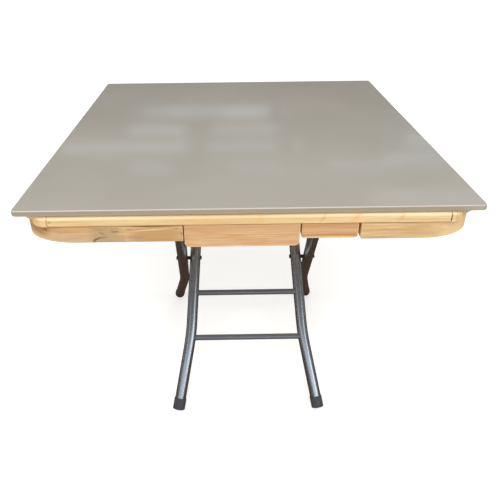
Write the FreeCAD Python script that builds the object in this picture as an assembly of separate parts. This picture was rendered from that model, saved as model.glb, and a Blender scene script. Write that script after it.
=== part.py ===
import FreeCAD, Part
import math
import os

from FreeCAD import Vector

# Folding mahjong table, millimetres. The origin is on the floor under the middle of the top,
# the front player sits at -Y and +X is to that player's right.

# Cover board
cover_side = 880.0
cover_thickness = 12.0
cover_corner_radius = 8.0
cover_edge_round = 2.5
cover_overhang = 2.0

# Wooden frame
table_height = 748.0
rim_height = 24.0
rim_bevel = 10.0
rim_proud = 3.0
rim_end_setback = 61.0
rim_end_cut = 20.0
rim_seam = 1.2
filler_radius = 40.0
apron_height = 37.0
apron_thickness = 28.0
apron_end_round = 5.0
corner_run = 105.0
corner_return = 66.0
edge_ease = 1.5

# Playing top
panel_thickness = 9.0
panel_ledge = 5.0
panel_clearance = 0.5
felt_thickness = 1.5

# Drawers
drawer_width = 220.0
drawer_offset = -13.9
drawer_drop = 12.5
drawer_face_thickness = 20.0
drawer_face_proud = 1.5
drawer_face_radius = 9.0
drawer_face_lap = 8.5
drawer_wall = 8.0
drawer_bottom_thickness = 3.0
drawer_bottom_rise = 3.0
drawer_groove_depth = 3.0
finger_bevel = 7.0

# Cup trays
tray_width = 107.5
tray_rise = 4.0
tray_face_radius = 6.0
tray_thickness = 22.0
cup_diameter = 70.0
cup_front_wall = 7.0
cup_depth = 17.0
cup_edge_round = 2.0

# Gaps that show in the apron
face_top_gap = 1.0
drawer_side_gap = 2.0
faces_gap = 2.7
tray_side_gap = 5.1

# Runners and bearers
runner_thickness = 10.0
runner_recess = 3.0
runner_lip = 8.0
runner_lip_thickness = 4.0
stop_thickness = 8.0
stop_gap = 4.0
run_clearance = 0.4
groove_clearance = 0.2
box_headroom = 3.0
bearer_width = 44.0
bearer_height = 34.0
bearer_side_gap = 9.0
bearer_end_gap = 3.5
bearer_tail = 5.0
bearer_end_bevel = 12.0

# Leg frames
leg_offset = 9.0
tube_diameter = 31.0
tube_wall = 1.2
tube_overrun = 8.0
frame_gap = 7.0
hinge_drop = 21.0
pivot_height_share = 0.523
foot_reach = 268.5
taper_share = 0.055
splay_share = 0.176
bend_along_share = 0.74
bend_radius = 600.0
crossbar_diameter = 16.0
upper_bar_along_share = 0.60
lower_bar_along_share = 0.753
fit_clearance = 0.05

# Foot caps
cap_diameter = 34.0
cap_length = 31.0
cap_floor = 4.0
cap_flat = 2.0
cap_edge_round = 1.5

# Leg pivots
bolt_diameter = 8.0
bolt_head_diameter = 12.0
bolt_head_height = 2.5
head_round_share = 0.6
nut_diameter = 12.0
nut_height = 3.0
nut_grip = 2.0
spacer_diameter = 11.0
pivot_seat = 0.45

# Hinge rod, top bar and their hardware
rod_diameter = 10.0
rod_tail = 5.0
bar_diameter = 12.0
bar_tail = 4.0
sheet_thickness = 2.5
cheek_gap = 2.0
cheek_half_length = 15.0
bracket_length = 68.0
bracket_screw_pitch = 52.0
bracket_screw_row = 18.0
hook_width = 12.0
hook_side_gap = 3.5
hook_clearance = 0.3
hook_arm = 4.0
hook_mouth = 10.0
hook_flange = 18.0
hook_flange_thickness = 4.0
screw_diameter = 4.0
screw_length = 18.0
screw_head_diameter = 8.0
screw_head_height = 2.5

# Edges are found by their place, within one tolerance.
same_place = 0.001

# Levels and half-widths that the pieces share
rim_top = table_height
rim_low = rim_top - rim_height
apron_low = rim_low - apron_height
rim_face = cover_side / 2 - cover_overhang
apron_face = rim_face - rim_proud
apron_inner = apron_face - apron_thickness
corner_x = apron_face - corner_run
corner_y = apron_face - corner_return
front_rail_half = rim_face - rim_end_setback
panel_half = apron_inner + panel_ledge
rim_inner = panel_half + panel_clearance
panel_top = rim_low + panel_thickness

# Fronts in the apron of one side, from left to right for the player who sits there
face_top = rim_low - face_top_gap
face_plane = apron_face + drawer_face_proud
face_back = face_plane - drawer_face_thickness
drawer_left = drawer_offset - drawer_width / 2
drawer_right = drawer_offset + drawer_width / 2
tray_left = drawer_right + faces_gap
tray_right = tray_left + tray_width
opening_left = drawer_left - drawer_side_gap
opening_right = tray_right + tray_side_gap

# Runners, drawer boxes and bearers
box_left = drawer_left + drawer_face_lap
box_right = drawer_right - drawer_face_lap
runner_low = apron_low + runner_recess
lip_top = runner_low + runner_lip_thickness
box_low = lip_top + run_clearance
box_top = face_top - box_headroom
bearer_inner = -opening_left + leg_offset + bearer_side_gap
bearer_centre = bearer_inner + bearer_width / 2
bearer_outer = bearer_inner + bearer_width
bearer_low = rim_low - bearer_height
stop_inner = bearer_outer + leg_offset + stop_gap
box_end = stop_inner + stop_thickness + run_clearance

# Leg lines: each frame leans by the same angle, so the two upper halves are equal
hinge_height = bearer_low - hinge_drop
pivot_height = hinge_height * pivot_height_share
lean = math.atan2(foot_reach, pivot_height)
hinge_reach = (hinge_height - pivot_height) * math.tan(lean)
bearer_end = hinge_reach + bracket_length / 2 + bearer_tail
tray_stop_inner = bearer_end + bearer_end_gap
tray_end = tray_stop_inner + stop_thickness + run_clearance
leg_length = hinge_height / math.cos(lean)
pivot_along = (hinge_height - pivot_height) / math.cos(lean)
bend_along = leg_length * bend_along_share
tube_radius = tube_diameter / 2
outer_frame = {"toward": 1, "top_half": bearer_centre}
inner_frame = {"toward": -1, "top_half": bearer_centre - tube_diameter - frame_gap}

outer_pivot_half = outer_frame["top_half"] + taper_share * pivot_along
inner_pivot_half = inner_frame["top_half"] + taper_share * pivot_along
head_face = outer_pivot_half + tube_radius + pivot_seat
nut_face = inner_pivot_half - tube_radius - pivot_seat
rod_half = bearer_centre + tube_radius + cheek_gap + sheet_thickness + rod_tail
hook_centre = inner_frame["top_half"] + tube_radius + hook_side_gap + hook_width / 2
hook_back = hinge_reach + bar_diameter / 2 + hook_clearance + hook_arm
bar_half = hook_centre + hook_width / 2 + bar_tail

side_angles = {"front": 0, "right": 90, "rear": 180, "left": 270}
hand_signs = {"left": -1, "right": 1}
end_signs = {"front": -1, "rear": 1}


def block(x_range, y_range, z_range):
    size = [high - low for low, high in (x_range, y_range, z_range)]
    return Part.makeBox(*size, Vector(x_range[0], y_range[0], z_range[0]))


def rod(radius, start, end):
    line = end - start
    return Part.makeCylinder(radius, line.Length, start, line)


def cross_rod(radius, half_length, y, z):
    return rod(radius, Vector(-half_length, y, z), Vector(half_length, y, z))


def prism(points, travel):
    outline = Part.makePolygon(points + points[:1])
    return Part.Face(outline).extrude(travel)


def turned(shape, angle):
    copy = shape.copy()
    copy.rotate(Vector(0, 0, 0), Vector(0, 0, 1), angle)
    return copy


def mirrored(shape, signs):
    for sign, normal in zip(signs, (Vector(1, 0, 0), Vector(0, 1, 0))):
        if sign < 0:
            shape = shape.mirror(Vector(0, 0, 0), normal)
    return shape


def edges_at(shape, **places):
    def lies_there(edge):
        points = [vertex.Point for vertex in edge.Vertexes]
        misses = [abs(getattr(point, axis) - place) for point in points for axis, place in places.items()]
        return max(misses) < same_place

    return [edge for edge in shape.Edges if lies_there(edge)]


def round_edges(shape, level):
    return [edge for edge in edges_at(shape, z=level) if edge.Curve.TypeId != "Part::GeomLine"]


def write(name, *solids):
    shape = solids[0] if len(solids) == 1 else Part.makeCompound(solids)
    shape.exportStep("parts/" + name + ".step")


# Cover board and wooden frame


def cover_board():
    half = cover_side / 2
    cover_top = rim_top + cover_thickness
    board = block((-half, half), (-half, half), (rim_top, cover_top))
    upright = [edge for edge in board.Edges if edge.BoundBox.ZLength > cover_thickness / 2]
    board = board.makeFillet(cover_corner_radius, upright)
    return board.makeFillet(cover_edge_round, edges_at(board, z=cover_top) + edges_at(board, z=rim_top))


def rim_rail(half_length):
    # Section of a front rail, from its inner lower edge round to the wide bevel on its outer top edge.
    section = [
        (rim_inner, rim_low),
        (rim_face - edge_ease, rim_low),
        (rim_face, rim_low + edge_ease),
        (rim_face, rim_top - rim_bevel),
        (rim_face - rim_bevel, rim_top),
        (rim_inner, rim_top),
    ]
    points = [Vector(-half_length, -out, level) for out, level in section]
    return prism(points, Vector(2 * half_length, 0, 0))


def side_rail():
    # The ends slant back in plan, so the rail stays clear of the rounded corner.
    rail = rim_rail(rim_inner)
    slants = []
    for sign in hand_signs.values():
        end = sign * rim_inner
        points = [
            Vector(end, -rim_inner, rim_low),
            Vector(end, -rim_face, rim_low),
            Vector(end - sign * rim_end_cut, -rim_face, rim_low),
        ]
        slants.append(prism(points, Vector(0, 0, rim_height)))
    return rail.cut(slants)


def rounded_corner(centre, arc, height):
    # The corner at +X +Y: a quarter arc, closed by the lines from its ends to its centre.
    start, end = [vertex.Point for vertex in arc.Vertexes]
    straights = [Part.LineSegment(end, centre).toShape(), Part.LineSegment(centre, start).toShape()]
    return Part.Face(Part.Wire([arc] + straights)).extrude(Vector(0, 0, height))


def rim_corner(signs):
    # A bevelled filler that turns the corner from the end of a front or rear rail, out over the rounder block.
    centre = Vector(front_rail_half, rim_face - filler_radius, rim_low)
    arc = Part.Circle(centre, Vector(0, 0, 1), filler_radius).toShape(0, math.pi / 2)
    corner = rounded_corner(centre, arc, rim_height)
    corner = corner.makeChamfer(rim_bevel, round_edges(corner, rim_top))
    strip = block((front_rail_half + rim_seam, rim_face), (rim_inner, rim_face), (rim_low, rim_top))
    return mirrored(corner.common(strip), signs)


def corner_block(signs):
    # Longer along the front and rear than along the sides.
    centre = Vector(corner_x, corner_y, apron_low)
    arc = Part.Ellipse(centre, corner_run, corner_return).toShape(0, math.pi / 2)
    corner = rounded_corner(centre, arc, apron_height)
    return mirrored(corner.makeFillet(edge_ease, round_edges(corner, apron_low)), signs)


def apron_lengths(half_length):
    y_range = (-apron_face, -apron_inner)
    left = block((-half_length, opening_left), y_range, (apron_low, rim_low))
    right = block((opening_right, half_length), y_range, (apron_low, rim_low))
    right = right.makeFillet(apron_end_round, edges_at(right, x=opening_right, z=apron_low))
    eased = []
    for length in (left, right):
        eased.append(length.makeFillet(edge_ease, edges_at(length, y=-apron_face, z=apron_low)))
    return eased


# Drawers and cup trays of the front side


def front_face(left, right, low, radius):
    face = block((left, right), (-face_plane, -face_back), (low, face_top))
    face = face.makeFillet(radius, edges_at(face, x=left, z=low) + edges_at(face, x=right, z=low))
    return face.makeFillet(edge_ease, edges_at(face, y=-face_plane))


def drawer_face():
    low = apron_low - drawer_drop
    face = front_face(drawer_left, drawer_right, low, drawer_face_radius)
    start = drawer_left + drawer_face_radius
    bevel = [
        Vector(start, -face_back, low),
        Vector(start, -face_back - finger_bevel, low),
        Vector(start, -face_back, low + finger_bevel),
    ]
    return face.cut(prism(bevel, Vector(drawer_width - 2 * drawer_face_radius, 0, 0)))


def drawer_bottom(clearance):
    x_range = (box_left + drawer_wall - drawer_groove_depth, box_right - drawer_wall + drawer_groove_depth)
    y_end = -box_end - drawer_wall + drawer_groove_depth
    low = box_low + drawer_bottom_rise
    return block(
        (x_range[0] - clearance, x_range[1] + clearance),
        (-face_back, y_end + clearance),
        (low - clearance, low + drawer_bottom_thickness + clearance),
    )


def drawer_box():
    y_range = (-face_back, -box_end)
    z_range = (box_low, box_top)
    left = block((box_left, box_left + drawer_wall), y_range, z_range)
    right = block((box_right - drawer_wall, box_right), y_range, z_range)
    back_y = (-box_end - drawer_wall, -box_end)
    back = block((box_left + drawer_wall, box_right - drawer_wall), back_y, z_range)
    groove = drawer_bottom(groove_clearance)
    return [wall.cut(groove) for wall in (left, right, back)]


def tray_face():
    return front_face(tray_left, tray_right, apron_low + tray_rise, tray_face_radius)


def tray_plate():
    top = box_low + tray_thickness
    plate = block((tray_left, tray_right), (-face_back, -tray_end), (box_low, top))
    cup_middle = face_back - cup_front_wall - cup_diameter / 2
    centre = Vector((tray_left + tray_right) / 2, -cup_middle, top - cup_depth)
    plate = plate.cut(Part.makeCylinder(cup_diameter / 2, cup_depth, centre))
    return plate.makeFillet(cup_edge_round, round_edges(plate, top))


def runner(web_left, web_right, lip_left, lip_right, y_end):
    # Upright web with a lip on one side or both; its front end meets the apron's inner face.
    section = [
        (web_left - lip_left, runner_low),
        (web_right + lip_right, runner_low),
        (web_right + lip_right, lip_top),
        (web_right, lip_top),
        (web_right, rim_low),
        (web_left, rim_low),
        (web_left, lip_top),
        (web_left - lip_left, lip_top),
    ]
    points = [Vector(x, -apron_inner, z) for x, z in section]
    corners = [point for index, point in enumerate(points) if point != points[index - 1]]
    return prism(corners, Vector(0, apron_inner + y_end, 0))


def runners():
    left_web = box_left - run_clearance
    middle_web = (box_right + run_clearance, tray_left - run_clearance)
    right_web = tray_right + run_clearance
    stop_z = (lip_top, rim_low)
    return [
        runner(left_web - runner_thickness, left_web, 0, runner_lip, -stop_inner),
        runner(*middle_web, runner_lip, runner_lip, -stop_inner),
        runner(right_web, right_web + runner_thickness, runner_lip, 0, -tray_stop_inner),
        block((left_web, middle_web[0]), (-stop_inner - stop_thickness, -stop_inner), stop_z),
        block((middle_web[1], right_web), (-tray_stop_inner - stop_thickness, -tray_stop_inner), stop_z),
    ]


# Bearers and leg hardware


def bracket_screw_places(sign):
    base_low = bearer_low - sheet_thickness
    x_places = [sign * bearer_centre + step * bracket_screw_row / 2 for step in (-1, 1)]
    y_places = [-hinge_reach + step * bracket_screw_pitch / 2 for step in (-1, 1)]
    return [Vector(x, y, base_low) for x in x_places for y in y_places]


def hook_screw_places(sign):
    y = hook_back + hook_flange / 2
    return [Vector(sign * hook_centre, y, bearer_low - hook_flange_thickness)]


def screw_places(sign):
    return bracket_screw_places(sign) + hook_screw_places(sign)


def screw(place):
    shank = rod(screw_diameter / 2, place, place + Vector(0, 0, screw_length))
    head = rod(screw_head_diameter / 2, place - Vector(0, 0, screw_head_height), place)
    head = head.makeFillet(screw_head_height / 2, edges_at(head, z=place.z - screw_head_height))
    return head.fuse(shank).removeSplitter()


def drilled(shape, places):
    radius = screw_diameter / 2 + fit_clearance
    holes = [rod(radius, place, place + Vector(0, 0, screw_length + fit_clearance)) for place in places]
    return shape.cut(holes)


def bearer(sign):
    x_range = sorted((sign * bearer_inner, sign * bearer_outer))
    beam = block(x_range, (-bearer_end, bearer_end), (bearer_low, rim_low))
    ends = edges_at(beam, y=-bearer_end, z=bearer_low) + edges_at(beam, y=bearer_end, z=bearer_low)
    beam = beam.makeChamfer(bearer_end_bevel, ends)
    return drilled(beam, screw_places(sign))


def hinge_bracket(sign):
    middle = sign * bearer_centre
    outer = tube_radius + cheek_gap + sheet_thickness
    base_y = (-hinge_reach - bracket_length / 2, -hinge_reach + bracket_length / 2)
    bracket = block((middle - outer, middle + outer), base_y, (bearer_low - sheet_thickness, bearer_low))
    cheek_y = (-hinge_reach - cheek_half_length, -hinge_reach + cheek_half_length)
    for start in (middle - outer, middle + outer - sheet_thickness):
        cheek = block((start, start + sheet_thickness), cheek_y, (hinge_height, bearer_low))
        axis = Vector(start, -hinge_reach, hinge_height)
        round_end = rod(cheek_half_length, axis, axis + Vector(sheet_thickness, 0, 0))
        bracket = bracket.fuse([cheek, round_end])
    bracket = bracket.removeSplitter()
    bracket = bracket.cut(cross_rod(rod_diameter / 2 + fit_clearance, rod_half, -hinge_reach, hinge_height))
    return drilled(bracket, bracket_screw_places(sign))


def latch_hook(sign):
    # Open towards the hinge, so the legs' load seats the bar against the closed end.
    half = bar_diameter / 2 + hook_clearance
    low = hinge_height - half - hook_arm
    mouth = hinge_reach - hook_mouth
    x_range = (sign * hook_centre - hook_width / 2, sign * hook_centre + hook_width / 2)
    body = block(x_range, (mouth, hook_back), (low, bearer_low))
    body = body.makeFillet(hook_arm + half / 2, edges_at(body, y=hook_back, z=low))
    slot = block(x_range, (mouth, hinge_reach), (hinge_height - half, hinge_height + half))
    seat = cross_rod(half, bar_half, hinge_reach, hinge_height)
    flange_z = (bearer_low - hook_flange_thickness, bearer_low)
    flange = block(x_range, (hook_back, hook_back + hook_flange), flange_z)
    hook = body.cut([slot, seat]).fuse(flange).removeSplitter()
    return drilled(hook, hook_screw_places(sign))


# Leg frames: two bent tubes each, lying in a plane that leans from the hinge line to the feet


def leg_point(frame, sign, along, half_width):
    y = frame["toward"] * (along * math.sin(lean) - hinge_reach)
    return Vector(sign * half_width, y, hinge_height - along * math.cos(lean))


def half_width_at(frame, along):
    above = taper_share * min(along, bend_along)
    return frame["top_half"] + above + splay_share * max(along - bend_along, 0)


def leg_line(frame, sign):
    top = leg_point(frame, sign, -tube_overrun, half_width_at(frame, -tube_overrun))
    bend = leg_point(frame, sign, bend_along, half_width_at(frame, bend_along))
    floor = leg_point(frame, sign, leg_length, half_width_at(frame, leg_length))
    lower = (floor - bend).normalize()
    # The cap's square end dips below the floor by its flat before it is cut there.
    end_height = cap_diameter / 2 * math.sqrt(1 - lower.z ** 2) - cap_flat
    cap_end = bend + lower * ((end_height - bend.z) / lower.z)
    return top, bend, cap_end, lower


def bent_tube(frame, sign, radius):
    top, bend, cap_end, lower = leg_line(frame, sign)
    upper = (bend - top).normalize()
    turn = upper.getAngle(lower)
    tangent = bend_radius * math.tan(turn / 2)
    start = bend - upper * tangent
    finish = bend + lower * tangent
    inward = (lower - upper).normalize()
    middle = bend + inward * (bend_radius / math.cos(turn / 2) - bend_radius)
    path = Part.Wire([
        Part.LineSegment(top, start).toShape(),
        Part.Arc(start, middle, finish).toShape(),
        Part.LineSegment(finish, cap_end - lower * cap_floor).toShape(),
    ])
    ring = Part.Wire(Part.makeCircle(radius, top, upper))
    return path.makePipeShell([ring], True, False)


def leg_tube(frame, sign, cross_radius):
    tube = bent_tube(frame, sign, tube_radius).cut(bent_tube(frame, sign, tube_radius - tube_wall))
    top_y = -frame["toward"] * hinge_reach
    top_hole = cross_rod(cross_radius + fit_clearance, rod_half, top_y, hinge_height)
    pivot_hole = cross_rod(bolt_diameter / 2 + fit_clearance, head_face, 0, pivot_height)
    return tube.cut([top_hole, pivot_hole])


def foot_cap(frame, sign):
    cap_end, lower = leg_line(frame, sign)[2:]
    radius = cap_diameter / 2
    mouth = cap_end - lower * cap_length
    cap = rod(radius, mouth, cap_end)
    cap = cap.makeFillet(cap_edge_round, [edge for edge in cap.Edges if edge.Closed])
    cap = cap.cut(rod(tube_radius + fit_clearance, mouth, cap_end - lower * cap_floor))
    ground = block((cap_end.x - cap_length, cap_end.x + cap_length),
                   (cap_end.y - cap_length, cap_end.y + cap_length), (-cap_length, 0))
    return cap.cut(ground)


def crossbar(along):
    centre = leg_point(inner_frame, 0, along, 0)
    bar = cross_rod(crossbar_diameter / 2, half_width_at(inner_frame, along), centre.y, centre.z)
    return bar.cut([bent_tube(inner_frame, sign, tube_radius) for sign in hand_signs.values()])


def pivot_bolt(sign):
    tail = Vector(sign * (nut_face - nut_grip), 0, pivot_height)
    seat = Vector(sign * head_face, 0, pivot_height)
    crown = seat + Vector(sign * bolt_head_height, 0, 0)
    shank = rod(bolt_diameter / 2, tail, seat)
    head = rod(bolt_head_diameter / 2, seat, crown)
    head = head.makeFillet(bolt_head_height * head_round_share, edges_at(head, x=crown.x))
    return head.fuse(shank).removeSplitter()


def pivot_spacer(sign):
    start = Vector(sign * (inner_pivot_half + tube_radius + pivot_seat), 0, pivot_height)
    end = Vector(sign * (outer_pivot_half - tube_radius - pivot_seat), 0, pivot_height)
    return rod(spacer_diameter / 2, start, end).cut(rod(bolt_diameter / 2 + fit_clearance, start, end))


def pivot_nut(sign):
    # A low domed cap, pressed over the end of the bolt.
    seat = Vector(sign * nut_face, 0, pivot_height)
    crown = seat - Vector(sign * nut_height, 0, 0)
    socket_end = seat - Vector(sign * (nut_grip + fit_clearance), 0, 0)
    nut = rod(nut_diameter / 2, seat, crown)
    nut = nut.makeFillet(nut_height * head_round_share, edges_at(nut, x=crown.x))
    return nut.cut(rod(bolt_diameter / 2 + fit_clearance, seat, socket_end))


def write_top():
    write("cover_board", cover_board())
    write("playing_panel", block((-panel_half, panel_half), (-panel_half, panel_half), (rim_low, panel_top)))
    felt_range = (panel_top, panel_top + felt_thickness)
    write("playing_felt", block((-panel_half, panel_half), (-panel_half, panel_half), felt_range))
    corners = {(end, hand): (hand_signs[hand], end_signs[end]) for end in end_signs for hand in hand_signs}
    write("rim_corners", *[rim_corner(signs) for signs in corners.values()])
    for (end, hand), signs in corners.items():
        write("corner_block_" + end + "_" + hand, corner_block(signs))
    for side, angle in side_angles.items():
        at_end = side in end_signs
        rail = rim_rail(front_rail_half) if at_end else side_rail()
        lengths = apron_lengths(corner_x if at_end else corner_y)
        write("rim_rail_" + side, turned(rail, angle))
        write("aprons_" + side, *[turned(length, angle) for length in lengths])


def write_drawers():
    for side, angle in side_angles.items():
        write("runners_" + side, *[turned(piece, angle) for piece in runners()])
        write("drawer_face_" + side, turned(drawer_face(), angle))
        write("drawer_box_" + side, *[turned(wall, angle) for wall in drawer_box()])
        write("drawer_bottom_" + side, turned(drawer_bottom(0), angle))
        write("tray_face_" + side, turned(tray_face(), angle))
        write("tray_plate_" + side, turned(tray_plate(), angle))


def write_shifted(name, *solids):
    # Bearers and leg frames are drawn about x = 0, and stand a little to the right of it.
    for solid in solids:
        solid.translate(Vector(leg_offset, 0, 0))
    write(name, *solids)


def write_legs():
    signs = list(hand_signs.values())
    for hand, sign in hand_signs.items():
        write_shifted("bearer_" + hand, bearer(sign))
        write_shifted("outer_tube_" + hand, leg_tube(outer_frame, sign, rod_diameter / 2))
        write_shifted("inner_tube_" + hand, leg_tube(inner_frame, sign, bar_diameter / 2))
    write_shifted("hinge_brackets", *[hinge_bracket(sign) for sign in signs])
    write_shifted("latch_hooks", *[latch_hook(sign) for sign in signs])
    write_shifted("bracket_screws", *[screw(place) for sign in signs for place in screw_places(sign)])
    write_shifted("hinge_rod", cross_rod(rod_diameter / 2, rod_half, -hinge_reach, hinge_height))
    write_shifted("top_bar", cross_rod(bar_diameter / 2, bar_half, hinge_reach, hinge_height))
    write_shifted("upper_crossbar", crossbar(leg_length * upper_bar_along_share))
    write_shifted("lower_crossbar", crossbar(leg_length * lower_bar_along_share))
    write_shifted("outer_feet", *[foot_cap(outer_frame, sign) for sign in signs])
    write_shifted("inner_feet", *[foot_cap(inner_frame, sign) for sign in signs])
    write_shifted("pivot_bolts", *[pivot_bolt(sign) for sign in signs])
    write_shifted("pivot_spacers", *[pivot_spacer(sign) for sign in signs])
    write_shifted("pivot_nuts", *[pivot_nut(sign) for sign in signs])


os.makedirs("parts", exist_ok=True)
write_top()
write_drawers()
write_legs()
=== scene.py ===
import math

import bmesh
import bpy
from mathutils import Matrix, Vector


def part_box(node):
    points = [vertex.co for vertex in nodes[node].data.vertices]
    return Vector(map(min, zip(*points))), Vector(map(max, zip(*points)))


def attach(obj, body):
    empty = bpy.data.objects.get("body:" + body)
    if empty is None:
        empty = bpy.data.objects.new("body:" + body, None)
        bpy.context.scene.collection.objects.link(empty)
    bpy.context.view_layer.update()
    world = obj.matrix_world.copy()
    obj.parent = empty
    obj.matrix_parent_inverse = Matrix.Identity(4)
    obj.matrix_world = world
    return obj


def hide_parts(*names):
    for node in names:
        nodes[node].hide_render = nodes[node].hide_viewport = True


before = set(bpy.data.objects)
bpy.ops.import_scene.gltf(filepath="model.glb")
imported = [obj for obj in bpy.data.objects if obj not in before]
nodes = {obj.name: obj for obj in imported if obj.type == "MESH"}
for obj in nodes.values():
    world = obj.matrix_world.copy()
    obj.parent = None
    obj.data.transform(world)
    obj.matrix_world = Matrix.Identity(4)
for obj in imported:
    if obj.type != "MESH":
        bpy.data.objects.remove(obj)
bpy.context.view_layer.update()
sides = ("front", "right", "rear", "left")
hands = ("left", "right")
mm = 0.001
print("frame loaded:", len(nodes), "CAD nodes")


def linear(hexColour):  # sRGB hex to the linear RGBA that a socket takes
    channels = [int(hexColour[i:i + 2], 16) / 255 for i in (1, 3, 5)]
    return [c / 12.92 if c <= 0.04045 else ((c + 0.055) / 1.055) ** 2.4 for c in channels] + [1.0]


white, black = linear("#FFFFFF"), linear("#000000")
noiseSpread = (0.35, 0.65)  # most of a noise pattern's values lie between these
mixShare, mixUnder, mixOver, mixed = 0, 6, 7, 2  # sockets of a Mix node that works in colours


def addNode(tree, kind, inputs=(), stops=(), **settings):
    node = tree.nodes.new(kind)
    for key, value in settings.items():
        setattr(node, key, value)
    for key, value in dict(inputs).items():
        if isinstance(value, bpy.types.NodeSocket):
            tree.links.new(value, node.inputs[key])
        else:
            node.inputs[key].default_value = value
    if stops:  # only a colour ramp has them
        ramp = node.color_ramp
        ramp.elements.remove(ramp.elements[1])
        ramp.elements[0].position, ramp.elements[0].color = stops[0]
        for place, colour in stops[1:]:
            ramp.elements.new(place).color = colour
    return node


def newMaterial(name, **values):
    material = bpy.data.materials.new(name)
    material.use_nodes = True
    shader = material.node_tree.nodes["Principled BSDF"]
    for key, value in values.items():
        shader.inputs[key.replace("_", " ")].default_value = value
    return material, material.node_tree, shader


# Pine and fir boards: sizes in mm, grain runs along one axis of the table
grainLook = {"shine": 0.35, "bandDetail": 3.0, "bandRoughness": 0.55, "waver": 0.6, "bandStops": (0.36, 0.50, 0.64),
             "fibreDetail": 2.0, "fibreStops": (0.40, 0.60), "fibreShare": 0.55}
rimLook = {"late": "#DAB580", "mid": "#E2C28F", "early": "#E9CF9F", "band": 5.0, "run": 30.0,
           "fibre": 1.6, "fibreTint": "#F6E8CF", "roughness": 0.42}
apronLook = {"late": "#C8A26E", "mid": "#D8B485", "early": "#E2C194", "band": 6.0, "run": 18.0,
             "fibre": 1.8, "fibreTint": "#F1E0C4", "roughness": 0.46}
drawerLook = {"late": "#CC9E70", "mid": "#D7AE80", "early": "#DEBA8C", "band": 2.2, "run": 34.0,
              "fibre": 1.3, "fibreTint": "#F0D8BC", "roughness": 0.44}
trayLook = {"late": "#B98757", "mid": "#CC9F70", "early": "#D9B283", "band": 5.5, "run": 60.0,
            "fibre": 1.5, "fibreTint": "#F0D9BC", "roughness": 0.44}
boxLook = {"late": "#C69F68", "mid": "#D4B27E", "early": "#DFC292", "band": 6.0, "run": 20.0,
           "fibre": 1.6, "fibreTint": "#EAD6B4", "roughness": 0.55}
plyLook = {"late": "#C4A271", "mid": "#D0B080", "early": "#DABE90", "band": 12.0, "run": 9.0,
           "fibre": 1.4, "fibreTint": "#EAD8B8", "roughness": 0.6}


def addMark(tree, place, colour, mark):  # a knot, streak or joint, or a painted shade, shadow or highlight, as a soft ellipse round a point
    turned = addNode(tree, "ShaderNodeMapping", {"Vector": place, "Location": [c * mm for c in mark["at"]],
                                                 "Scale": [c * mm for c in mark["reach"]],
                                                 "Rotation": (0, -math.radians(mark.get("tilt", 0)), 0)},
                     vector_type="TEXTURE").outputs[0]
    depth = addNode(tree, "ShaderNodeTexGradient", {"Vector": turned}, gradient_type="SPHERICAL").outputs["Fac"]
    share = mark["share"]
    clear, full = (0, 0, 0, 1), (share, share, share, 1)
    mask = addNode(tree, "ShaderNodeValToRGB", {0: depth}, stops=[(0.0, clear), (mark["soft"], full)]).outputs[0]
    return addNode(tree, "ShaderNodeMix", {mixShare: mask, mixUnder: colour, mixOver: linear(mark["colour"])},
                   data_type="RGBA").outputs[mixed]


def softwood(name, look, along, marks=()):
    # planed softwood under clear lacquer: long soft bands of early and late wood, low satin shine
    # its fibres are drawn coarser than real ones, so that they show
    material, tree, shader = newMaterial(name, Roughness=look["roughness"], Specular_IOR_Level=grainLook["shine"])
    place = addNode(tree, "ShaderNodeTexCoord").outputs["Object"]
    lengths = [1 / look["run"] if axis == along else 1.0 for axis in "XYZ"]
    grain = addNode(tree, "ShaderNodeMapping", {"Vector": place, "Scale": lengths}).outputs[0]
    bands = addNode(tree, "ShaderNodeTexNoise", {"Vector": grain, "Scale": 1 / (look["band"] * mm),
                                                 "Detail": grainLook["bandDetail"],
                                                 "Roughness": grainLook["bandRoughness"],
                                                 "Distortion": grainLook["waver"]}).outputs[0]
    tones = [linear(look[key]) for key in ("late", "mid", "early")]
    colour = addNode(tree, "ShaderNodeValToRGB", {0: bands}, stops=list(zip(grainLook["bandStops"], tones))).outputs[0]
    fibres = addNode(tree, "ShaderNodeTexNoise", {"Vector": grain, "Scale": 1 / (look["fibre"] * mm),
                                                  "Detail": grainLook["fibreDetail"]}).outputs[0]
    tints = [linear(look["fibreTint"]), white]
    fibreTone = addNode(tree, "ShaderNodeValToRGB", {0: fibres},
                        stops=list(zip(grainLook["fibreStops"], tints))).outputs[0]
    colour = addNode(tree, "ShaderNodeMix", {mixShare: grainLook["fibreShare"], mixUnder: colour, mixOver: fibreTone},
                     data_type="RGBA", blend_type="MULTIPLY").outputs[mixed]
    for mark in marks:
        colour = addMark(tree, place, colour, mark)
    tree.links.new(colour, shader.inputs["Base Color"])
    return material


# Cover board: its clouds, the heights of its edge tones, the topmost of them a painted highlight on the arris, and the
# height from which its face shows, in mm
coverLook = {"roughness": 0.08, "shine": 0.38, "clouds": 240.0, "cloudDetail": 2.0, "faceTones": ("#ACA79C", "#B1ACA1"),
             "edgeTonesAndHighlight": ((748.5, "#BBAB92"), (752.0, "#A29582"), (758.2, "#A29582"), (759.4, "#D6D0C6")),
             "faceFrom": (759.6, 759.8)}


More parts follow.
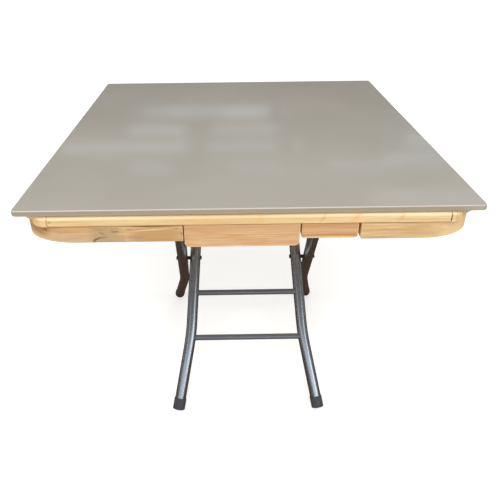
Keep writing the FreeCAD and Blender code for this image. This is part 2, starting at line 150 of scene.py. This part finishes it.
def coverLaminate():
    # melamine laminate pressed smooth: even taupe grey with a darker edge band under a painted highlight on its top
    # arris, mirrors bright strips with soft ends
    material, tree, shader = newMaterial("melamineLaminate", Roughness=coverLook["roughness"],
                                         Specular_IOR_Level=coverLook["shine"])
    place = addNode(tree, "ShaderNodeTexCoord").outputs["Object"]
    clouds = addNode(tree, "ShaderNodeTexNoise", {"Vector": place, "Scale": 1 / (coverLook["clouds"] * mm),
                                                  "Detail": coverLook["cloudDetail"]}).outputs[0]
    faceTones = [linear(tone) for tone in coverLook["faceTones"]]
    face = addNode(tree, "ShaderNodeValToRGB", {0: clouds}, stops=list(zip(noiseSpread, faceTones))).outputs[0]
    height = addNode(tree, "ShaderNodeSeparateXYZ", {0: place}).outputs["Z"]
    foot, brow = coverLook["edgeTonesAndHighlight"][0][0], coverLook["edgeTonesAndHighlight"][-1][0]
    climb = addNode(tree, "ShaderNodeMapRange", {"Value": height, "From Min": foot * mm,
                                                 "From Max": brow * mm}).outputs[0]
    edgeStops = [((level - foot) / (brow - foot), linear(tone)) for level, tone in coverLook["edgeTonesAndHighlight"]]
    # the band's topmost stop is a painted highlight along the arris
    band = addNode(tree, "ShaderNodeValToRGB", {0: climb}, stops=edgeStops).outputs[0]
    start, full = coverLook["faceFrom"]
    onTop = addNode(tree, "ShaderNodeMapRange", {"Value": height, "From Min": start * mm,
                                                 "From Max": full * mm}).outputs[0]
    colour = addNode(tree, "ShaderNodeMix", {mixShare: onTop, mixUnder: band, mixOver: face},
                     data_type="RGBA").outputs[mixed]
    tree.links.new(colour, shader.inputs["Base Color"])
    return material


# Leg enamel: flakes and the depth of their relief in mm, drawn coarser than real ones so that they show
enamelLook = {"flake": 1.6, "flakeDetail": 1.0, "spread": (0.3, 0.7), "gloss": (0.19, 0.26), "relief": 0.02,
              "depth": 0.1}
tubeCoat = {"tone": "#A6A7AB", "metal": 0.9}
barCoat = {"tone": "#72757B", "metal": 0.4}  # a thinner coat, with less metal in it


def legEnamel(name, coat):
    # metal flake enamel stoved on steel tube: grey, mirrors the room softly, its highlights broken up by fine flakes
    material, tree, shader = newMaterial(name, Base_Color=linear(coat["tone"]), Metallic=coat["metal"])
    place = addNode(tree, "ShaderNodeTexCoord").outputs["Object"]
    flakes = addNode(tree, "ShaderNodeTexNoise", {"Vector": place, "Scale": 1 / (enamelLook["flake"] * mm),
                                                  "Detail": enamelLook["flakeDetail"]}).outputs[0]
    (low, high), (shiny, dull) = enamelLook["spread"], enamelLook["gloss"]
    gloss = addNode(tree, "ShaderNodeMapRange", {"Value": flakes, "From Min": low, "From Max": high, "To Min": shiny,
                                                 "To Max": dull}).outputs[0]
    tree.links.new(gloss, shader.inputs["Roughness"])
    bump = addNode(tree, "ShaderNodeBump", {"Strength": enamelLook["relief"], "Distance": enamelLook["depth"] * mm,
                                            "Height": flakes})
    tree.links.new(bump.outputs[0], shader.inputs["Normal"])
    return material


# Small fittings: clouds and the depth of their relief in mm, and the tones and roughnesses that they run between
rubberLook = {"clouds": 3.0, "tones": ("#39393E", "#46464B"), "gloss": (0.42, 0.58), "relief": 0.06, "depth": 0.2,
              "shader": {"Specular_IOR_Level": 0.4}}
zincLook = {"clouds": 5.0, "tones": ("#B6BABF", "#CDD0D3"), "gloss": (0.28, 0.44), "relief": 0.02, "depth": 0.2,
            "shader": {"Metallic": 1.0}}
blackLook = {"clouds": 2.0, "tones": ("#202024", "#303035"), "gloss": (0.34, 0.52), "relief": 0.03, "depth": 0.2,
             "shader": {"Metallic": 0.7}}
fittingDetail = 4.0


def fitting(name, look):
    # moulded rubber: matt and dusty
    # zinc plate: pale, with a cloudy bluish shine
    # blackened steel: a dull gleam with oily patches
    material, tree, shader = newMaterial(name, **look["shader"])
    place = addNode(tree, "ShaderNodeTexCoord").outputs["Object"]
    clouds = addNode(tree, "ShaderNodeTexNoise", {"Vector": place, "Scale": 1 / (look["clouds"] * mm),
                                                  "Detail": fittingDetail}).outputs[0]
    tones = [linear(tone) for tone in look["tones"]]
    colour = addNode(tree, "ShaderNodeValToRGB", {0: clouds}, stops=list(zip(noiseSpread, tones))).outputs[0]
    tree.links.new(colour, shader.inputs["Base Color"])
    (low, high), (shiny, dull) = noiseSpread, look["gloss"]
    gloss = addNode(tree, "ShaderNodeMapRange", {"Value": clouds, "From Min": low, "From Max": high, "To Min": shiny,
                                                 "To Max": dull}).outputs[0]
    tree.links.new(gloss, shader.inputs["Roughness"])
    bump = addNode(tree, "ShaderNodeBump", {"Strength": look["relief"], "Distance": look["depth"] * mm,
                                            "Height": clouds})
    tree.links.new(bump.outputs[0], shader.inputs["Normal"])
    return material


# Felt: nap in mm, drawn coarser than real wool so that it shows
feltLook = {"nap": 4.0, "napDetail": 4.0, "tones": ("#23503A", "#2F6549"), "roughness": 0.95, "shine": 0.1,
            "sheen": 0.35, "sheenRoughness": 0.5}


def baize():
    # woollen baize: deep green, napped, no gloss but a pale bloom at low angles
    material, tree, shader = newMaterial("woolBaize", Roughness=feltLook["roughness"],
                                         Specular_IOR_Level=feltLook["shine"], Sheen_Weight=feltLook["sheen"],
                                         Sheen_Roughness=feltLook["sheenRoughness"])
    place = addNode(tree, "ShaderNodeTexCoord").outputs["Object"]
    nap = addNode(tree, "ShaderNodeTexNoise", {"Vector": place, "Scale": 1 / (feltLook["nap"] * mm),
                                               "Detail": feltLook["napDetail"]}).outputs[0]
    tones = [linear(tone) for tone in feltLook["tones"]]
    colour = addNode(tree, "ShaderNodeValToRGB", {0: nap}, stops=list(zip(noiseSpread, tones))).outputs[0]
    tree.links.new(colour, shader.inputs["Base Color"])
    return material


def dress(material, *names):
    for name in names:
        nodes[name].data.materials.clear()
        nodes[name].data.materials.append(material)


# Knots and streaks of the other three sides, in mm on their faces
otherMarks = {
    "X": [
        {"at": (262, 435, 703), "reach": (26, 20, 9), "colour": "#B98D58", "share": 0.6, "soft": 0.6},
        {"at": (264, 435, 703), "reach": (8, 20, 4.5), "colour": "#7C5A36", "share": 0.8, "soft": 0.5},
        {"at": (196, 435, 712), "reach": (46, 20, 2.4), "tilt": 3, "colour": "#B08A5C", "share": 0.6, "soft": 0.8},
        {"at": (-258, 435, 697), "reach": (54, 20, 2.6), "tilt": -2, "colour": "#B08A5C", "share": 0.6, "soft": 0.8},
        {"at": (-310, 435, 714), "reach": (5, 20, 3.2), "colour": "#8A683F", "share": 0.7, "soft": 0.6},
    ],
    "Y": [
        {"at": (-435, 228, 700), "reach": (20, 30, 8), "colour": "#B98D58", "share": 0.6, "soft": 0.6},
        {"at": (-435, 230, 700), "reach": (20, 9, 4), "colour": "#7C5A36", "share": 0.8, "soft": 0.5},
        {"at": (-435, -262, 711), "reach": (20, 58, 2.4), "colour": "#B08A5C", "share": 0.6, "soft": 0.8},
        {"at": (-435, 296, 713), "reach": (20, 40, 2.2), "colour": "#A9835A", "share": 0.6, "soft": 0.8},
        {"at": (435, -236, 698), "reach": (20, 48, 2.6), "colour": "#B08A5C", "share": 0.6, "soft": 0.8},
        {"at": (435, 268, 707), "reach": (20, 24, 8), "colour": "#B98D58", "share": 0.6, "soft": 0.6},
        {"at": (435, 269, 707), "reach": (20, 7, 4.5), "colour": "#7C5A36", "share": 0.8, "soft": 0.5},
        {"at": (435, -190, 714), "reach": (20, 5, 2.8), "colour": "#8A683F", "share": 0.7, "soft": 0.6},
    ],
}
grainOf = {"front": "X", "rear": "X", "left": "Y", "right": "Y"}
woods = {along: {"rim": softwood("rimPine" + along, rimLook, along),
                 "apron": softwood("apronPine" + along, apronLook, along, otherMarks[along]),
                 "drawer": softwood("drawerFir" + along, drawerLook, along),
                 "tray": softwood("trayFir" + along, trayLook, along),
                 "box": softwood("boxPine" + along, boxLook, along)} for along in "XY"}
woodOf = {"rim_rail": "rim", "aprons": "apron", "drawer_face": "drawer", "tray_face": "tray", "tray_plate": "tray",
          "drawer_box": "box", "runners": "box"}
for side in sides:
    for name, wood in woodOf.items():
        dress(woods[grainOf[side]][wood], name + "_" + side)

# Marks of the front boards, in mm on their faces: tones, a bent streak, knots and a finger joint on the aprons, with
# painted shade under the rim and the filler, painted shade on the left corner block and painted light on the right one
apronMarksAndPaintedLight = [
    # painted light: the right corner block made paler, as lit from the right
    {"at": (435, -430, 706), "reach": (125, 110, 110), "colour": "#EBC893", "share": 0.9, "soft": 0.7},
    {"at": (322, -435, 704), "reach": (60, 20, 30), "colour": "#C6A06D", "share": 0.5, "soft": 0.7},
    # painted shade along the top of the left apron, under the rim
    {"at": (-330, -435, 716.5), "reach": (100, 20, 9), "colour": "#C39B67", "share": 0.75, "soft": 0.4},
    {"at": (-345, -432, 697), "reach": (90, 60, 12), "colour": "#C8A881", "share": 0.75, "soft": 0.5},
    {"at": (-273, -435, 703), "reach": (38, 20, 26), "colour": "#B0966F", "share": 0.75, "soft": 0.5},
    {"at": (-245, -435, 695), "reach": (14, 20, 9), "colour": "#B7946A", "share": 0.6, "soft": 0.6},
    {"at": (-176, -435, 703), "reach": (66, 20, 30), "colour": "#BC8F5A", "share": 0.7, "soft": 0.5},
    {"at": (-239.5, -435, 703), "reach": (1.2, 20, 40), "colour": "#B08E62", "share": 0.4, "soft": 0.6},
    {"at": (-216, -435, 697), "reach": (24, 20, 6), "colour": "#B08C72", "share": 0.65, "soft": 0.6},
    {"at": (-185, -435, 714), "reach": (50, 20, 2.0), "tilt": 4, "colour": "#F0D9AE", "share": 0.6, "soft": 0.6},
    {"at": (-294.6, -435, 691.6), "reach": (8, 20, 3.0), "tilt": 52, "colour": "#604A2C", "share": 0.9, "soft": 0.7},
    {"at": (-288, -435, 695.8), "reach": (9, 20, 2.6), "tilt": 26, "colour": "#665034", "share": 0.85, "soft": 0.7},
    {"at": (-278, -435, 698.2), "reach": (12, 20, 2.6), "tilt": 5, "colour": "#7F6A54", "share": 0.75, "soft": 0.8},
    {"at": (-279, -435, 707.4), "reach": (9, 20, 2.6), "tilt": -24, "colour": "#8A6C45", "share": 0.75, "soft": 0.7},
    {"at": (-287, -435, 717), "reach": (18, 20, 4.0), "tilt": -8, "colour": "#A9875C", "share": 0.6, "soft": 0.8},
    {"at": (-253, -435, 710.6), "reach": (10, 20, 2.6), "tilt": 3, "colour": "#8A683F", "share": 0.85, "soft": 0.7},
    {"at": (-259, -435, 714), "reach": (3, 20, 4.0), "tilt": 30, "colour": "#9A7A50", "share": 0.6, "soft": 0.8},
    {"at": (-251, -435, 717), "reach": (16, 20, 2.6), "tilt": -4, "colour": "#A07C50", "share": 0.65, "soft": 0.8},
    {"at": (-227, -435, 715.2), "reach": (11, 20, 2.6), "tilt": -12, "colour": "#A98458", "share": 0.65, "soft": 0.8},
    {"at": (-138, -435, 715.4), "reach": (2.6, 20, 2.6), "colour": "#94693F", "share": 0.6, "soft": 0.6},
    {"at": (-128.4, -435, 704), "reach": (2.0, 20, 3.0), "colour": "#7E5430", "share": 0.7, "soft": 0.6},
    {"at": (-366, -430, 710.2), "reach": (44, 60, 2.8), "tilt": 2, "colour": "#BD9159", "share": 0.65, "soft": 0.7},
    {"at": (-327.8, -435, 698), "reach": (26, 20, 2.6), "tilt": 3, "colour": "#B3936A", "share": 0.6, "soft": 0.8},
    # painted shade: the left corner block made darker, as turned from the light
    {"at": (-406, -412, 708), "reach": (34, 90, 17), "colour": "#9F7748", "share": 0.75, "soft": 0.6},
    {"at": (-402, -415, 703), "reach": (16, 60, 2.2), "tilt": -28, "colour": "#8C663C", "share": 0.6, "soft": 0.7},
    {"at": (-389, -424, 713.5), "reach": (8, 60, 2.2), "tilt": -42, "colour": "#5F3F20", "share": 0.9, "soft": 0.6},
    # painted shadow under the filler's lower edge, along the top of the left block
    {"at": (-404, -412, 722.6), "reach": (52, 120, 3.4), "colour": "#5F3F20", "share": 0.85, "soft": 0.5},
    # painted shadow under the rim: a soft line along the whole apron, and a deeper one here
    {"at": (0, -435, 723.6), "reach": (560, 70, 3.4), "colour": "#A37A4A", "share": 0.75, "soft": 0.7},
    {"at": (-186, -435, 722.6), "reach": (66, 20, 3.0), "colour": "#6E4A26", "share": 0.85, "soft": 0.6},
]
# A painted highlight along the upper edge, slanted patches, a knot, a seam darkened with painted shadow, end grain and
# a deeper middle tone on the rim
rimMarksAndPaintedLight = [
    # painted highlight along the upper bevel
    {"at": (0, -433, 744), "reach": (2000, 40, 7), "colour": "#F8E4BE", "share": 0.8, "soft": 0.4},
    {"at": (20.5, -438, 733.8), "reach": (10, 20, 13), "tilt": 12, "colour": "#EDB374", "share": 0.75, "soft": 0.9},
    {"at": (136.5, -438, 734.4), "reach": (13, 20, 5.5), "tilt": 50, "colour": "#DDA865", "share": 0.75, "soft": 0.9},
    {"at": (199.9, -438, 736.3), "reach": (16, 20, 8), "tilt": 35, "colour": "#E8B070", "share": 0.75, "soft": 0.9},
    {"at": (283.2, -438, 733.7), "reach": (13, 20, 5.5), "tilt": 50, "colour": "#DDA865", "share": 0.75, "soft": 0.9},
    {"at": (-372, -438, 734.8), "reach": (3.0, 20, 2.4), "tilt": -30, "colour": "#A8703C", "share": 0.8, "soft": 0.6},
    # the seam at the rail's end, darkened as painted shadow in its gap
    {"at": (377.6, -438, 732), "reach": (1.5, 20, 16), "colour": "#7A5028", "share": 0.85, "soft": 0.5},
    {"at": (388, -434, 736), "reach": (1.3, 60, 18), "colour": "#C0945A", "share": 0.6, "soft": 0.7},
    {"at": (395, -428, 736), "reach": (1.2, 60, 18), "colour": "#C0945A", "share": 0.5, "soft": 0.7},
    {"at": (402, -422, 736), "reach": (1.3, 60, 18), "colour": "#B98C52", "share": 0.6, "soft": 0.7},
    {"at": (409, -415, 736), "reach": (1.2, 60, 18), "colour": "#C0945A", "share": 0.5, "soft": 0.7},
    {"at": (-50, -438, 735), "reach": (260, 30, 17), "colour": "#D9B47C", "share": 0.6, "soft": 0.8},
]
# Painted shade under the rim on the drawer's upper part, and painted highlights on the lower and right edges of drawer
# and tray
drawerPaintedShadeAndHighlights = [
    # painted shade from the rim over the drawer's upper part
    {"at": (-14, -440, 722), "reach": (260, 40, 17), "colour": "#C79A6D", "share": 0.7, "soft": 0.8},
    # painted highlight along the drawer's lower edge
    {"at": (-14, -440, 675), "reach": (160, 40, 4.5), "colour": "#F0C68E", "share": 0.7, "soft": 0.6},
    # painted highlight on the drawer's right edge
    {"at": (96, -440, 700), "reach": (2.4, 40, 60), "colour": "#F0CB9A", "share": 0.8, "soft": 0.6},
]
trayPaintedHighlights = [
    # painted highlights on the tray's lower and right edges
    {"at": (152, -440, 691.5), "reach": (100, 40, 6), "colour": "#F0C898", "share": 0.75, "soft": 0.5},
    {"at": (206, -440, 707), "reach": (2.4, 40, 40), "colour": "#F0CB9A", "share": 0.7, "soft": 0.6},
]
frontPine = softwood("apronPineFront", apronLook, "X", apronMarksAndPaintedLight)
frontRim = softwood("rimPineFront", rimLook, "X", rimMarksAndPaintedLight)
plywood = softwood("sandedPlywood", plyLook, "X")
tubeEnamel = legEnamel("flakeEnamel", tubeCoat)
barEnamel = legEnamel("thinFlakeEnamel", barCoat)
dress(frontPine, "aprons_front", *["corner_block_front_" + hand for hand in hands])
dress(woods["X"]["apron"], *["corner_block_rear_" + hand for hand in hands])
dress(frontRim, "rim_rail_front", "rim_corners")
dress(softwood("drawerFirFront", drawerLook, "X", drawerPaintedShadeAndHighlights), "drawer_face_front")
dress(softwood("trayFirFront", trayLook, "X", trayPaintedHighlights), "tray_face_front")
dress(plywood, "playing_panel", *["drawer_bottom_" + side for side in sides])
dress(woods["Y"]["box"], *["bearer_" + hand for hand in hands])
dress(coverLaminate(), "cover_board")
dress(tubeEnamel, *[leg + "_tube_" + hand for leg in ("outer", "inner") for hand in hands])
dress(barEnamel, "upper_crossbar", "lower_crossbar")
dress(fitting("mouldedRubber", rubberLook), "outer_feet", "inner_feet")
dress(fitting("zincPlatedSteel", zincLook), "hinge_rod", "top_bar", "hinge_brackets", "latch_hooks", "bracket_screws")
dress(fitting("blackenedSteel", blackLook), "pivot_bolts", "pivot_spacers", "pivot_nuts")
print("CAD nodes dressed")


def newObject(name, bm, material):
    mesh = bpy.data.meshes.new(name)
    bm.to_mesh(mesh)
    bm.free()
    mesh.materials.append(material)
    made = bpy.data.objects.new(name, mesh)
    bpy.context.scene.collection.objects.link(made)
    return made


def makePiece(name, bm, material, body):
    piece = newObject(name, bm, material)
    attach(piece, body)
    return piece


feltPiece = {"edgeRound": 0.5 * mm, "edgeSteps": 2, "steps": 12}


def layFelt():
    low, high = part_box("playing_felt")
    size = high - low
    bm = bmesh.new()
    bmesh.ops.create_grid(bm, x_segments=feltPiece["steps"], y_segments=feltPiece["steps"], size=0.5)
    bmesh.ops.scale(bm, vec=(size.x, size.y, 1), verts=bm.verts)
    bmesh.ops.translate(bm, vec=((low.x + high.x) / 2, (low.y + high.y) / 2, low.z), verts=bm.verts)
    raised = bmesh.ops.extrude_face_region(bm, geom=bm.faces[:])["geom"]
    topVerts = [v for v in raised if isinstance(v, bmesh.types.BMVert)]
    bmesh.ops.translate(bm, vec=(0, 0, size.z), verts=topVerts)
    rim = [e for e in bm.edges if all(v.co.z > low.z + size.z / 2 for v in e.verts)
           and any(abs(f.normal.z) < 0.5 for f in e.link_faces)]  # upper edges with an upright face beside them
    bmesh.ops.bevel(bm, geom=rim, offset=feltPiece["edgeRound"], segments=feltPiece["edgeSteps"], profile=0.5,
                    affect="EDGES", material=-1)
    bmesh.ops.recalc_face_normals(bm, faces=bm.faces)
    felt = makePiece("feltSheet", bm, baize(), "table")
    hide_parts("playing_felt")


layFelt()
print("felt laid")

weldPiece = {"bead": 1.7 * mm, "steps": 28, "profileSides": 10, "merge": 0.01 * mm}


def weldBars():
    for bar in ("upper_crossbar", "lower_crossbar"):
        low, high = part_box(bar)
        centre, radius = (low + high) / 2, (high.z - low.z) / 2
        bm = bmesh.new()
        for endX in (low.x, high.x):
            ring = bmesh.ops.create_circle(bm, segments=weldPiece["profileSides"], radius=weldPiece["bead"])["verts"]
            toEnd = Matrix.Translation((endX, centre.y, centre.z + radius))
            bmesh.ops.transform(bm, matrix=toEnd @ Matrix.Rotation(math.pi / 2, 4, "X"), verts=ring)
            profile = ring + list({e for v in ring for e in v.link_edges})
            bmesh.ops.spin(bm, geom=profile, cent=(endX, centre.y, centre.z), axis=(1, 0, 0), dvec=(0, 0, 0),
                           angle=math.tau, steps=weldPiece["steps"], use_merge=True)
        bmesh.ops.remove_doubles(bm, verts=bm.verts, dist=weldPiece["merge"])
        bmesh.ops.recalc_face_normals(bm, faces=bm.faces)
        for face in bm.faces:
            face.smooth = True
        makePiece("weld_" + bar, bm, tubeEnamel, "inner_leg")


weldBars()
print("crossbars welded")

# The set: one pale floor, a broad soft key from the front with low fills round it, and a room that only mirrors show
stageSet = {"floorHalf": 30.0, "floorColour": "#D4D4D2", "floorRoughness": 0.9, "glow": (0.5, 0.72),
            "glowReach": (0.9, 2.6), "ambient": 0.45}
roomWalls = {"half": 4.8, "height": 4.6, "colour": "#EDEBE6", "glow": 0.2}
floorBoards = {"half": 2.6, "lift": 0.5 * mm, "colour": "#5B412B", "glow": 0.7}
# A bright doorway before the table, as low panels that the lower legs mirror and the cover doesn't
doorway = {"distance": 1.6, "colour": "#D8E6F1"}
doorPanels = [
    {"azimuth": -44, "x": (-0.24, 0.24), "z": (0.52, 0.92), "glow": 1.5},
    {"azimuth": -20, "x": (-0.40, 0.40), "z": (0.48, 0.95), "glow": 1.6},
    {"azimuth": 10, "x": (-0.40, 0.40), "z": (0.25, 0.95), "glow": 2.1},
    {"azimuth": 40, "x": (-0.40, 0.40), "z": (0.25, 0.92), "glow": 3.3},
]
# Ceiling strips behind the table, as they lie in the cover: metres across and up on one far wall, later ones in front
stripWall = {"distance": 4.0, "step": 0.01, "colour": "#CFDEF2", "endFade": 0.20, "sideFade": 0.08}
strips = [
    {"x": (1.58, 2.90), "z": (1.95, 2.80), "glow": 0.33},
    {"x": (-0.14, 0.20), "z": (1.80, 1.90), "glow": 0.35},
    {"x": (-1.03, 0.48), "z": (1.92, 2.10), "glow": 0.75},
    {"x": (-0.76, 0.48), "z": (1.92, 2.10), "glow": 0.95},
    {"x": (-0.22, 0.48), "z": (1.92, 2.10), "glow": 1.20},
    {"x": (0.44, 0.68), "z": (1.94, 2.09), "glow": 0.70},
    {"x": (-1.22, -0.40), "z": (2.11, 2.29), "glow": 1.00},
    {"x": (-0.30, 0.58), "z": (2.11, 2.29), "glow": 0.90},
    {"x": (-1.98, -0.38), "z": (2.29, 2.49), "glow": 1.00},
    {"x": (-0.38, 0.62), "z": (2.29, 2.49), "glow": 0.85},
    {"x": (0.58, 0.88), "z": (2.29, 2.49), "glow": 0.80},
    {"x": (-1.24, -0.55), "z": (2.53, 2.73), "glow": 0.75},
    {"x": (-0.13, 0.65), "z": (2.53, 2.73), "glow": 0.65},
    {"x": (-1.05, 0.57), "z": (2.80, 3.00), "glow": 0.35},
    {"x": (0.98, 1.94), "z": (2.50, 2.70), "glow": 0.75},
    {"x": (1.60, 2.60), "z": (2.43, 2.63), "glow": 1.00},
    {"x": (1.78, 2.40), "z": (2.18, 2.45), "glow": 0.85},
    {"x": (1.48, 3.18), "z": (2.86, 3.24), "glow": 0.80},
]


def addStage(name, bm, matrix, material):
    piece = newObject(name, bm, material)
    piece.matrix_world = matrix
    return piece


def flatSheet(size):
    bm = bmesh.new()
    bmesh.ops.create_grid(bm, x_segments=1, y_segments=1, size=0.5)
    bmesh.ops.scale(bm, vec=(size[0], size[1], 1), verts=bm.verts)
    return bm


def showsTo(tree):  # 1 for rays from the camera, mirrors and glass
    path = addNode(tree, "ShaderNodeLightPath").outputs
    seen = addNode(tree, "ShaderNodeMath", {0: path["Is Camera Ray"], 1: path["Is Glossy Ray"]},
                   operation="ADD").outputs[0]
    return addNode(tree, "ShaderNodeMath", {0: seen, 1: path["Is Transmission Ray"]}, operation="ADD",
                   use_clamp=True).outputs[0]


def layFloor():  # dimmer near the table, where its shadow falls
    material, tree, shader = newMaterial("paleFloor", Base_Color=linear(stageSet["floorColour"]),
                                         Roughness=stageSet["floorRoughness"], Specular_IOR_Level=0.0,
                                         Emission_Color=white)
    place = addNode(tree, "ShaderNodeTexCoord").outputs["Object"]
    away = addNode(tree, "ShaderNodeVectorMath", {0: place}, operation="LENGTH").outputs["Value"]
    (near, far), (dim, bright) = stageSet["glowReach"], stageSet["glow"]
    level = addNode(tree, "ShaderNodeMapRange", {"Value": away, "From Min": near, "From Max": far, "To Min": dim,
                                                 "To Max": bright}, interpolation_type="SMOOTHSTEP").outputs[0]
    glow = addNode(tree, "ShaderNodeMath", {0: showsTo(tree), 1: level}, operation="MULTIPLY").outputs[0]
    tree.links.new(glow, shader.inputs["Emission Strength"])
    side = 2 * stageSet["floorHalf"]
    addStage("floor", flatSheet((side, side)), Matrix.Identity(4), material)


def cardGlow(name, colour, strength):
    return newMaterial(name, Base_Color=black, Roughness=1.0, Specular_IOR_Level=0.0,
                       Emission_Color=linear(colour), Emission_Strength=strength)


def fadeEdges(tree, shader, size):  # lets the wall behind show through a strip's ends and sides
    place = addNode(tree, "ShaderNodeTexCoord").outputs["Object"]
    apart = addNode(tree, "ShaderNodeVectorMath", {0: place}, operation="ABSOLUTE").outputs[0]
    across, up = addNode(tree, "ShaderNodeSeparateXYZ", {0: apart}).outputs[:2]
    masks = []
    for value, length, fade in ((across, size[0], stripWall["endFade"]), (up, size[1], stripWall["sideFade"])):
        masks.append(addNode(tree, "ShaderNodeMapRange", {"Value": value, "From Min": length / 2 - fade,
                                                          "From Max": length / 2, "To Min": 1.0, "To Max": 0.0},
                             interpolation_type="SMOOTHSTEP").outputs[0])
    both = addNode(tree, "ShaderNodeMath", {0: masks[0], 1: masks[1]}, operation="MULTIPLY").outputs[0]
    tree.links.new(both, shader.inputs["Alpha"])


def hangCard(name, bm, matrix, material):  # seen only in mirrors
    card = addStage(name, bm, matrix, material)
    card.visible_camera = card.visible_diffuse = card.visible_transmission = card.visible_shadow = False


def hangUpright(name, card, distance, colour, soft):  # before the table, or behind it where the distance is negative
    (left, right), (low, high) = card["x"], card["z"]
    size = (right - left, high - low)
    turn = Matrix.Rotation(math.radians(card.get("azimuth", 0)), 4, "Z")
    upright = (Matrix.Translation(((left + right) / 2, -distance, (low + high) / 2))
               @ Matrix.Rotation(math.pi / 2, 4, "X"))
    material, tree, shader = cardGlow(name, colour, card["glow"])
    if soft:
        fadeEdges(tree, shader, size)
    hangCard(name, flatSheet(size), turn @ upright, material)


def hangCards():
    walls = bmesh.new()
    bmesh.ops.create_cube(walls, size=2.0)
    bmesh.ops.scale(walls, vec=(roomWalls["half"], roomWalls["half"], roomWalls["height"]), verts=walls.verts)
    hangCard("roomWalls", walls, Matrix.Identity(4),
             cardGlow("roomWalls", roomWalls["colour"], roomWalls["glow"])[0])
    side = 2 * floorBoards["half"]
    hangCard("floorBoards", flatSheet((side, side)), Matrix.Translation((0, 0, floorBoards["lift"])),
             cardGlow("floorBoards", floorBoards["colour"], floorBoards["glow"])[0])
    for number, panel in enumerate(doorPanels):
        hangUpright("doorPanel%d" % number, panel, doorway["distance"], doorway["colour"], False)
    for number, strip in enumerate(strips):
        distance = stripWall["step"] * number - stripWall["distance"]
        hangUpright("strip%d" % number, strip, distance, stripWall["colour"], True)


def lightWorld():
    world = bpy.data.worlds.new("softDaylight")
    bpy.context.scene.world = world
    world.use_nodes = True
    tree = world.node_tree
    background = tree.nodes["Background"]
    background.inputs["Color"].default_value = white
    strength = addNode(tree, "ShaderNodeMath", {0: showsTo(tree), 1: 1 - stageSet["ambient"], 2: stageSet["ambient"]},
                       operation="MULTIPLY_ADD").outputs[0]
    tree.links.new(strength, background.inputs["Strength"])


lamps = {
    "key": {"at": (-0.1, -2.5, 3.1), "size": (2.6, 1.5), "watts": 100.0, "aim": (0, 0, 0.65)},
    "fillLeft": {"at": (-3.2, -0.2, 0.72), "size": (2.0, 0.9), "watts": 36.0, "aim": (0, 0, 0.7)},
    "fillRight": {"at": (3.2, 0.2, 0.72), "size": (2.0, 0.9), "watts": 36.0, "aim": (0, 0, 0.7)},
    "fillBack": {"at": (0.2, 3.2, 0.72), "size": (2.0, 0.9), "watts": 36.0, "aim": (0, 0, 0.7)},
}


def hangLamps():
    for name, lamp in lamps.items():
        light = bpy.data.lights.new(name, "AREA")
        light.shape = "RECTANGLE"
        light.size, light.size_y = lamp["size"]
        light.energy = lamp["watts"]
        holder = bpy.data.objects.new(name, light)
        holder.location = lamp["at"]
        holder.visible_glossy = False  # the room's cards give the reflections
        holder.rotation_euler = (Vector(lamp["aim"]) - holder.location).to_track_quat("-Z", "Y").to_euler()
        bpy.context.scene.collection.objects.link(holder)


layFloor()
hangCards()
lightWorld()
hangLamps()
print("stage lit")

# The photograph's camera, in pixels of its 500 x 500 frame and in metres and degrees
view = {"frame": 500, "focal": 500.9, "centre": (231.97, 206.81), "at": (-0.038, -1.2423, 1.2048),
        "yaw": 0.38, "pitch": 28.797, "roll": -0.608, "sensor": 36.0}


def setCamera():
    data = bpy.data.cameras.new("photoCamera")
    data.sensor_width = view["sensor"]
    data.lens = data.sensor_width * view["focal"] / view["frame"]
    data.shift_x = (view["frame"] / 2 - view["centre"][0]) / view["frame"]
    data.shift_y = (view["centre"][1] - view["frame"] / 2) / view["frame"]
    camera = bpy.data.objects.new("photoCamera", data)
    camera.matrix_world = (Matrix.Translation(view["at"])
                           @ Matrix.Rotation(math.radians(-view["yaw"]), 4, "Z")
                           @ Matrix.Rotation(math.radians(90 - view["pitch"]), 4, "X")
                           @ Matrix.Rotation(math.radians(view["roll"]), 4, "Z"))
    bpy.context.scene.collection.objects.link(camera)
    bpy.context.scene.camera = camera


setCamera()
bpy.context.scene.view_settings.view_transform = "Standard"
print("camera set")
